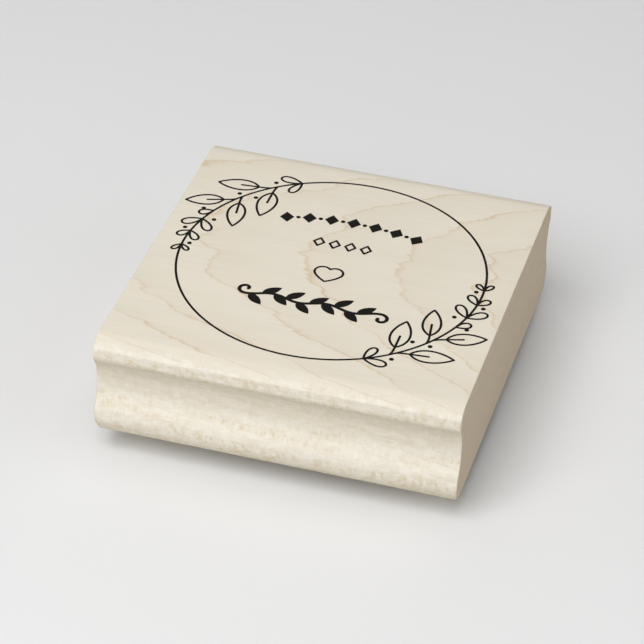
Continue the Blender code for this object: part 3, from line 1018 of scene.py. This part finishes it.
def end_grain(kit, season, line):
    """The colour of the sawn ends: faint rings, irregular streaks and open pores."""
    colour = kit.blend(kit.maths("MULTIPLY", season, END_SEASON_SHARE), MAPLE_END, MAPLE_END_LINE)
    colour = kit.blend(kit.maths("MULTIPLY", line, END_LINE_SHARE), colour, MAPLE_END_LINE)
    streaks = kit.noise(END_STREAKS, detail=4, roughness=0.65, seed=9.4)
    colour = kit.tinted(colour, streaks, STREAK_TINT)
    return kit.tinted(colour, kit.noise(PORES, detail=1, seed=1.3), PORE_TINT)


def maple():
    """Pale flat-sawn maple: growth rings on the top, figure on the sides, and end grain."""
    kit = Shader("maple_wood", Specular_IOR_Level=0.25)
    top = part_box("maple_block")[1].z / MM
    phase = ring_phase(kit, top)
    line = late_line(kit, phase)
    season = kit.ramp(phase, 0.1, 0.95)
    fibres = kit.noise(FIBRES, detail=3, roughness=0.6, seed=7.7)
    below = kit.maths("SUBTRACT", top, kit.parts(kit.position)[2])
    nx, ny, _ = kit.parts(kit.normal)
    quartered = kit.ramp(kit.maths("ABSOLUTE", ny), 0.1, 0.75)
    sawn = kit.ramp(kit.maths("ABSOLUTE", nx), 0.55, 0.9)
    sides = long_grain(kit, season, line, fibres, quartered, below)
    colour = kit.blend(sawn, sides, end_grain(kit, season, line))
    roughness = kit.ramp(fibres, -1.0, 1.0, 0.52, 0.68)
    saw_marks = kit.maths("MULTIPLY", kit.noise(SAW_MARKS, detail=2, seed=4.5), sawn)
    height = kit.maths("MULTIPLY", fibres, 0.006)
    height = kit.maths("MULTIPLY_ADD", saw_marks, 0.012, height)
    return kit.finish(colour, roughness, height)


def ink():
    """Flat black ink that follows the fibres under it."""
    kit = Shader("printing_ink", Specular_IOR_Level=0.1)
    fibres = kit.noise((6, 0.3, 0.3), detail=3, seed=7.7)
    roughness = kit.ramp(fibres, -1.0, 1.0, 0.45, 0.62)
    return kit.finish(kit.tinted(INK, fibres, 0.35), roughness, kit.maths("MULTIPLY", fibres, 0.004))


def foam():
    """Charcoal closed-cell foam with its cut cells, darker in their sunken hollows as painted shade."""
    kit = Shader("cushion_foam_cells", Specular_IOR_Level=0.2)
    cells = kit.add("ShaderNodeTexVoronoi", {"Vector": kit.position, "Scale": 5.5})
    pits = kit.ramp(cells.outputs["Distance"], 0.15, 0.55)
    cloud = kit.noise((3, 3, 3), detail=3, seed=1.9)
    # painted shade: darker at the bottom of each sunken cell
    colour = kit.tinted(kit.blend(pits, FOAM_CELL_SHADE, FOAM_WALL), cloud, 0.12)
    return kit.finish(colour, kit.ramp(pits, 0.0, 1.0, 0.95, 0.78), kit.maths("MULTIPLY", pits, 0.06))


def film():
    """Slightly cloudy adhesive film."""
    kit = Shader("adhesive_film_cloudy", Specular_IOR_Level=0.5)
    cloud = kit.noise((4, 4, 0.6), detail=4, seed=6.6)
    roughness = kit.ramp(cloud, -1.0, 1.0, 0.25, 0.5)
    return kit.finish(kit.tinted(FILM, cloud, 0.10), roughness, kit.maths("MULTIPLY", cloud, 0.01))


def rubber():
    """Dark grey engraved rubber: a smooth face, and a floor with the engraving's raster."""
    kit = Shader("engraved_rubber", Specular_IOR_Level=0.35)
    floor = kit.ramp(kit.parts(kit.position)[2], 0.15, 0.9)
    raster = kit.maths("MULTIPLY", kit.noise((14, 0.11, 6), detail=1, seed=3.7), floor)
    grain = kit.noise((0.25, 0.25, 0.25), detail=4, roughness=0.65, seed=8.8)
    colour = kit.tinted(kit.blend(floor, RUBBER_FACE, RUBBER_FLOOR), grain, 0.22)
    colour = kit.tinted(colour, raster, 0.12)
    height = kit.maths("MULTIPLY", raster, 0.012)
    height = kit.maths("MULTIPLY_ADD", grain, 0.004, height)
    return kit.finish(colour, kit.ramp(floor, 0.0, 1.0, 0.5, 0.8), height)


def studio_paper():
    """The floor's plain paper, which glows a little where it rises into the wall."""
    kit = Shader("studio_floor", Specular_IOR_Level=0.0, Emission_Color=WHITE)
    cloud = kit.noise((60, 60, 60), detail=2, seed=1.1)
    glow = kit.ramp(kit.parts(kit.position)[2], 0.0, WALL_GLOW_HEIGHT / MM, 0.0, WALL_GLOW)
    kit.feed(kit.surface.inputs["Emission Strength"], glow)
    return kit.finish(kit.tinted(FLOOR, cloud, 0.01), 0.9, kit.maths("MULTIPLY", cloud, 0.01))


# ---------------------------------------------------------------- studio


def add_floor(material):
    """A pale floor that rises far away into a seamless wall."""
    bm = bmesh.new()
    loops = []
    for out, drop in arc((0.0, 0.0), WALL_ROUND, 90, 0, WALL_STEPS):
        edge = [polar(FLOOR_RADIUS + out, 360 * k / FLOOR_STEPS) for k in range(FLOOR_STEPS)]
        loops.append([bm.verts.new((x, y, WALL_ROUND - drop)) for x, y in edge])
    for a, b in zip(loops, loops[1:]):
        strip(bm, a, b)
    bm.faces.new(loops[0])
    floor = new_object("floor", bm, material, smooth_angle=60)


def add_lights():
    """Soft light from large panels, and an even dim room."""
    world = bpy.data.worlds.new("studio")
    bpy.context.scene.world = world
    world.use_nodes = True
    background = world.node_tree.nodes["Background"]
    background.inputs["Color"].default_value = ROOM
    background.inputs["Strength"].default_value = ROOM_STRENGTH
    for name, azimuth, elevation, distance, size, power in LIGHTS:
        panel = bpy.data.lights.new(name, "AREA")
        panel.size = size
        panel.energy = power
        lamp = bpy.data.objects.new(name, panel)
        rotation = Euler((math.radians(90 - elevation), 0.0, math.radians(azimuth)))
        lamp.rotation_euler = rotation
        lamp.location = rotation.to_matrix() @ Vector((0.0, 0.0, distance))
        bpy.context.scene.collection.objects.link(lamp)


def add_camera():
    """The camera at the product's three-quarter view."""
    turn = Euler((math.radians(90 - CAMERA_ELEVATION), 0.0, math.radians(CAMERA_AZIMUTH)))
    rotation = turn.to_matrix() @ Matrix.Rotation(math.radians(CAMERA_ROLL), 3, "Z")
    back = rotation @ Vector((0.0, 0.0, CAMERA_DISTANCE))
    data = bpy.data.cameras.new("camera")
    data.lens = CAMERA_LENS
    data.sensor_width = CAMERA_SENSOR
    data.clip_start, data.clip_end = CAMERA_CLIP
    camera = bpy.data.objects.new("camera", data)
    camera.matrix_world = Matrix.Translation(Vector(CAMERA_AIM) + back) @ rotation.to_4x4()
    bpy.context.scene.collection.objects.link(camera)
    bpy.context.scene.camera = camera


def main():
    """Builds the pieces and the studio."""
    build_block(maple())
    build_print(ink())
    build_cushion(foam())
    build_films(film())
    build_die(rubber())
    add_floor(studio_paper())
    add_lights()
    add_camera()
    bpy.context.scene.view_settings.view_transform = "Standard"


main()
